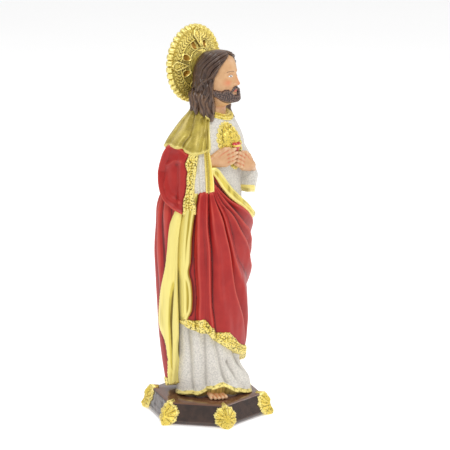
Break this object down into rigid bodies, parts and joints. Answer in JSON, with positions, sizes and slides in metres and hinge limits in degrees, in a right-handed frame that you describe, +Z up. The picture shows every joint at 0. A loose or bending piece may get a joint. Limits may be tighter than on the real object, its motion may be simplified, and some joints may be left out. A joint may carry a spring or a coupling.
{
  "type": "robed saint statuette",
  "caption": "Painted resin statuette of a standing bearded robed man with a disc halo, on a six-sided plinth with gilt leaf corners.",
  "frame": {"origin": "centre of the plinth's underside, which rests on the floor", "axes": "+Z up; the figure faces -Y, with its right side at -X and its left side at +X"},
  "size_m": [0.1024, 0.0898, 0.3],
  "materials": {
    "painted_resin": "painted in red, gold, off-white, brown and skin colour, satin varnish",
    "gilt_metal": "worn gilt with dark wash in the recesses",
    "brown_lacquer": "glossy dark brown with reddish worn edges and gilt leaves"
  },
  "bodies": {
    "root": {"figure": "painted_resin", "halo": "gilt_metal", "plinth": "brown_lacquer"}
  },
  "joints": []
}
